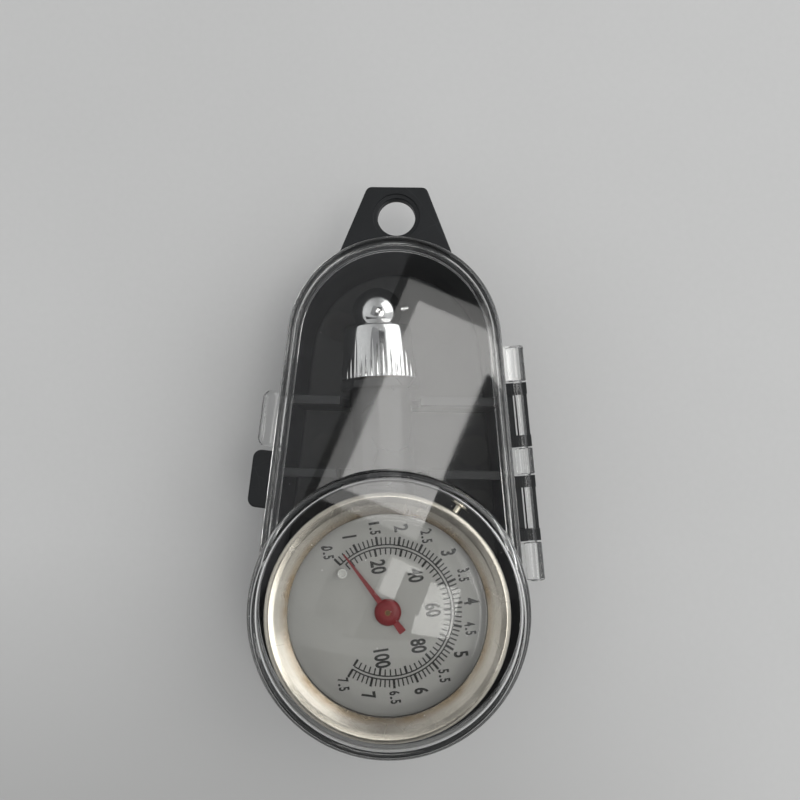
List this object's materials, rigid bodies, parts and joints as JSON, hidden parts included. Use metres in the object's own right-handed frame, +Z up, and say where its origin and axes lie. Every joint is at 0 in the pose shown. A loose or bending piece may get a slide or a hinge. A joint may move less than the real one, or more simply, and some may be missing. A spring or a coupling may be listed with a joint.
{
  "type": "dial tyre pressure gauge in storage case",
  "caption": "Round dial tyre-pressure gauge with black stem and chrome ball chuck, lying in a tapered black tray with a hinged clear domed lid and a hang tab.",
  "frame": {"origin": "bottom plane of the tray, under the centre of the lid's dome", "axes": "+X towards the hinge, +Y along the case towards the hang tab, +Z up through the dial"},
  "size_m": [0.0628, 0.1184, 0.035],
  "materials": {
    "tray_plastic": "moulded black polypropylene, fine texture",
    "clear_plastic": "clear polystyrene, lightly scratched",
    "satin_nickel": "satin nickel plate, fine grain",
    "can_steel": "nickel-plated pressed steel",
    "lens_plastic": "clear acrylic, polished",
    "rubber": "black nitrile rubber",
    "black_ring": "black moulded ring",
    "dial_face": "pale silver-grey printed aluminium",
    "steel": "bright steel",
    "brass": "machined brass",
    "bronze": "drawn phosphor bronze",
    "pointer_red": "red enamel",
    "sleeve_black": "glossy black plastic",
    "chrome": "bright chrome plate",
    "button_nickel": "warm nickel plate"
  },
  "bodies": {
    "case": {"tray": "tray_plastic"},
    "lid": {"lid": "clear_plastic"},
    "gauge": {"gauge_can": "can_steel", "bezel": "satin_nickel", "lens": "lens_plastic", "lens_gasket": "rubber", "dial_ring": "black_ring", "dial_plate": "dial_face", "stop_pin": "steel", "back_screws": "steel", "socket_block": "brass", "bourdon_tube": "bronze", "rear_plate": "brass", "front_plate": "brass", "plate_pillars": "brass", "plate_screws": "steel", "block_screws": "steel", "hairspring": "bronze", "stem_core": "brass", "stem_sleeve": "sleeve_black", "stem_collar": "sleeve_black", "valve_seat": "brass", "poppet_spring": "steel", "chuck_nut": "chrome", "neck_seal": "rubber", "valve_body": "brass", "valve_nut": "button_nickel", "bleed_pipe": "bronze", "button_spring": "steel"},
    "pointer": {"pointer": "pointer_red", "pointer_arbor": "steel", "pointer_bush": "brass"},
    "sector": {"sector_gear": "brass", "sector_arbor": "steel", "tail_pin": "steel"},
    "link": {"link": "brass"},
    "tube_tip": {"tip_block": "brass", "tip_pin": "steel"},
    "button": {"release_button": "button_nickel", "button_seal": "rubber"},
    "poppet": {"poppet": "rubber"},
    "chuck": {"chuck_ball": "chrome", "chuck_washer": "rubber", "depressor_pin": "brass", "deflator_nub": "chrome"}
  },
  "joints": [
    {"name": "lid_hinge", "type": "hinge", "parent": "case", "child": "lid", "pos_m": [0.0308, 0.00303, 0.023], "axis": [-0.0978, 0.9952, 0], "range_deg": [0, 170]},
    {"name": "gauge_lift", "type": "slide", "parent": "case", "child": "gauge", "axis": [0, 0, 1], "range_m": [0, 0.0025]},
    {"name": "pointer_turn", "type": "hinge", "parent": "gauge", "child": "pointer", "pos_m": [-0.0004, -0.0012, 0.0235], "axis": [0, 0, -1], "range_deg": [-5.5, 250]},
    {"name": "sector_turn", "type": "hinge", "parent": "gauge", "child": "sector", "pos_m": [-0.01159, -0.00554, 0.0193], "axis": [0, 0, -1], "range_deg": [-35.8, 0.8]},
    {"name": "link_turn", "type": "hinge", "parent": "sector", "child": "link", "pos_m": [-0.016, -0.00641, 0.0183], "axis": [0, 0, -1], "range_deg": [-0.5, 18.6]},
    {"name": "tube_flex", "type": "hinge", "parent": "gauge", "child": "tube_tip", "pos_m": [0.00388, -0.00576, 0.0112], "axis": [0, 0, 1], "range_deg": [-0.2, 6.6], "deforming": ["bourdon_tube"]},
    {"name": "button_push", "type": "slide", "parent": "gauge", "child": "button", "axis": [-0.5635, -0.8261, 0], "range_m": [0, 0.0015], "stiffness_N_per_m": 400, "springref_m": -0.0015, "deforming": ["button_spring"]},
    {"name": "poppet_slide", "type": "slide", "parent": "gauge", "child": "poppet", "axis": [0.0558, -0.9984, 0], "range_m": [0, 0.001], "stiffness_N_per_m": 150, "springref_m": -0.002, "deforming": ["poppet_spring"]},
    {"name": "chuck_swivel", "type": "hinge", "parent": "gauge", "child": "chuck", "pos_m": [-0.00401, 0.06335, 0.015], "axis": [-0.0558, 0.9984, 0], "continuous": true}
  ],
  "couplings": [
    {"joint": "sector_turn", "follows": "pointer_turn", "ratio": -0.14286},
    {"joint": "link_turn", "follows": "pointer_turn", "ratio": 0.073714},
    {"joint": "tube_flex", "follows": "pointer_turn", "ratio": 0.025714}
  ]
}
